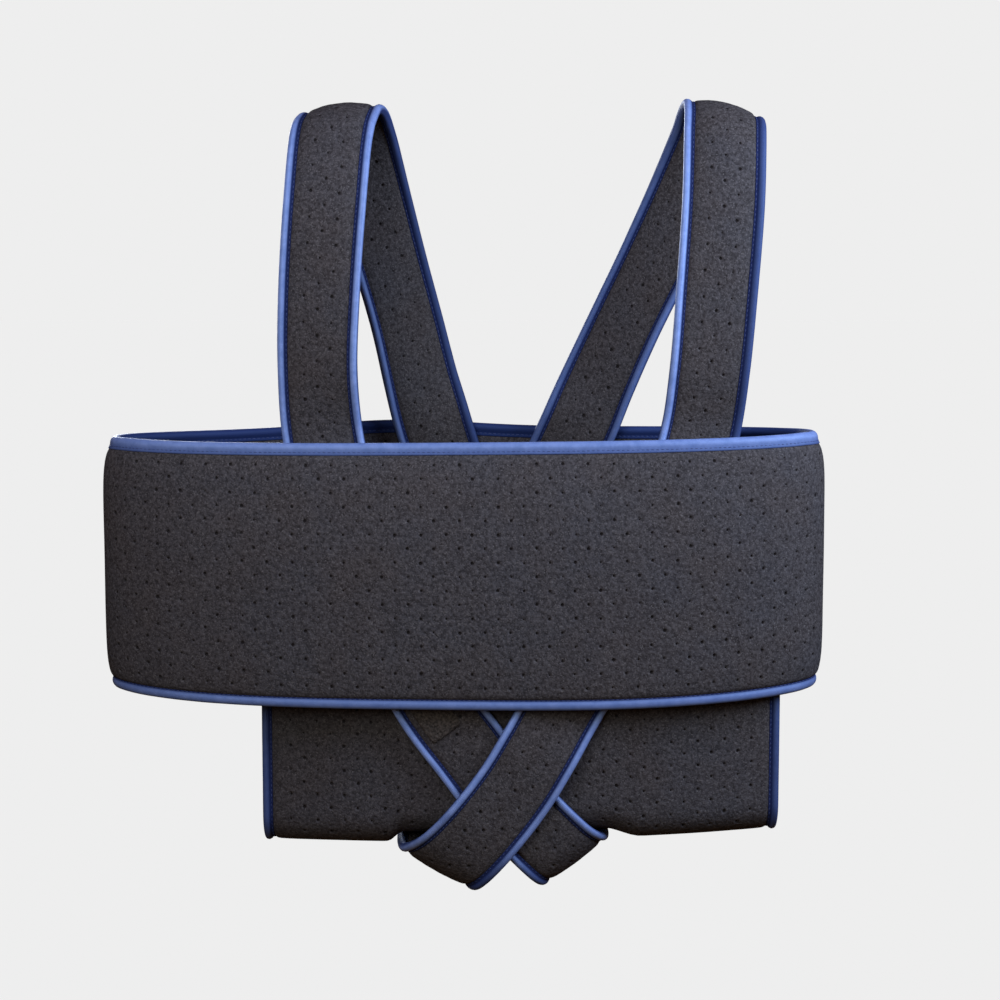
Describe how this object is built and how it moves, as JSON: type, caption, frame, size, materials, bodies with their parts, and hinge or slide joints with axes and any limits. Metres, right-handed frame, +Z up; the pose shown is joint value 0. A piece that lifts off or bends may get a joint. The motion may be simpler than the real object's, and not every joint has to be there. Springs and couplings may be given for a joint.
{
  "type": "shoulder immobilizer vest",
  "caption": "Soft chest band ring with crossing shoulder straps that carry an open-ended forearm sling, all in perforated padded fabric with bound edges.",
  "frame": {"origin": "midway between the two places where the straps rest on the shoulders, at the straps' underside", "axes": "+Z up along the straps, -Y towards the front of the chest, +X to the right seen from the front"},
  "size_m": [0.477, 0.1236, 0.5167],
  "materials": {
    "perforated_fabric": "charcoal brushed pile on perforated foam, matt",
    "binding_tape": "royal blue satin binding tape, soft gloss",
    "hook_tape": "black hook tape, matt"
  },
  "bodies": {
    "root": {"chest_band": "perforated_fabric", "chest_band_binding_top": "binding_tape", "chest_band_binding_bottom": "binding_tape", "strap_left": "perforated_fabric", "strap_left_binding_outer": "binding_tape", "strap_left_binding_inner": "binding_tape", "strap_right": "perforated_fabric", "strap_right_binding_outer": "binding_tape", "strap_right_binding_inner": "binding_tape", "strap_tab": "hook_tape", "forearm_sling": "perforated_fabric", "sling_binding_left": "binding_tape", "sling_binding_right": "binding_tape"}
  },
  "joints": []
}
